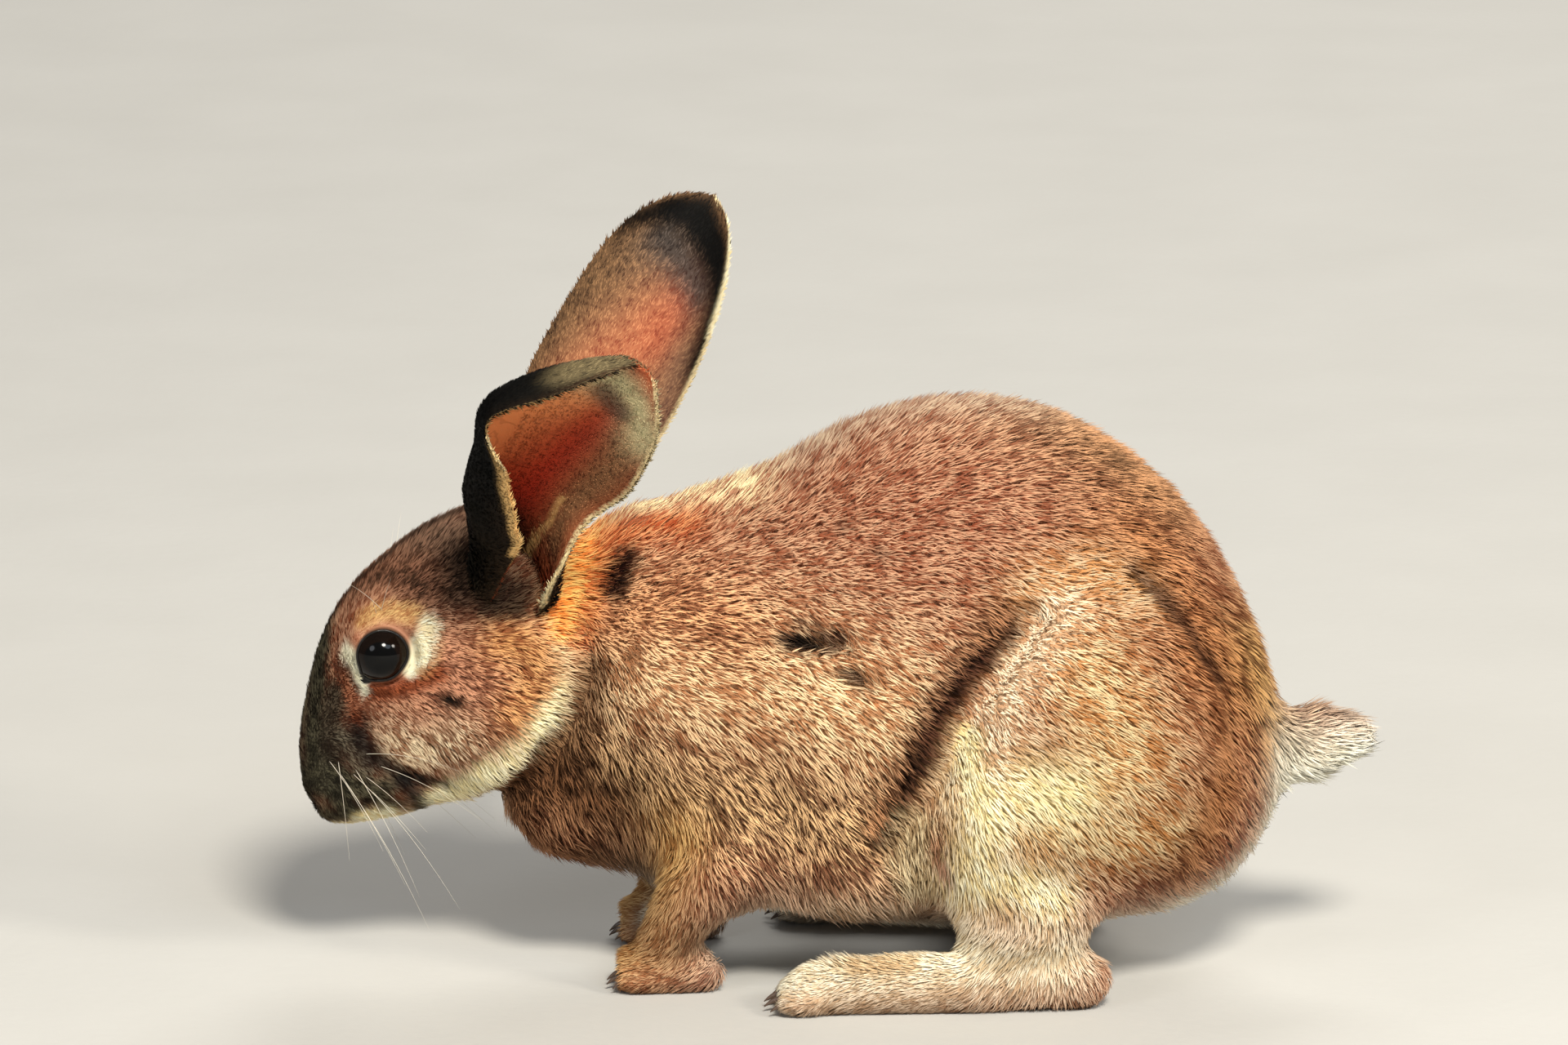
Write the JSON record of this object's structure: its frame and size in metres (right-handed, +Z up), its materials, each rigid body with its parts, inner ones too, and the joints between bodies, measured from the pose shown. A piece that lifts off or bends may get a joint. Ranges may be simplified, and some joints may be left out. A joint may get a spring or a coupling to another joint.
{
  "type": "rabbit",
  "caption": "Life-size still model of a brown rabbit crouched to graze, head low, ears raised and turned, on flat soles.",
  "frame": {"origin": "under the middle of the box round the whole animal, at the level of the soles", "axes": "+Z up, -X from the tail towards the nose, -Y towards the animal's left side"},
  "size_m": [0.3048, 0.1609, 0.2119],
  "materials": {
    "head_coat": "short brown ticked fur, buff round the eye and along the jaw",
    "nape_coat": "rust orange fur",
    "body_coat": "red-brown fur with ochre tips",
    "tail_coat": "white fur, dark above",
    "leg_coat": "ochre-brown fur",
    "haunch_coat": "pale ochre fur over brown",
    "foot_coat": "short cream fur with rust on top",
    "ear_skin": "thin skin with short fur, bare and reddish inside",
    "eye": "wet near-black eye"
  },
  "bodies": {
    "root": {"head": "head_coat", "neck": "nape_coat", "trunk": "body_coat", "tail": "tail_coat", "foreleg_left": "leg_coat", "foreleg_right": "leg_coat", "hind_leg_left": "haunch_coat", "hind_leg_right": "haunch_coat", "hind_foot_left": "foot_coat", "hind_foot_right": "foot_coat", "ear_left": "ear_skin", "ear_right": "ear_skin", "eye_left": "eye", "eye_right": "eye"}
  },
  "joints": []
}
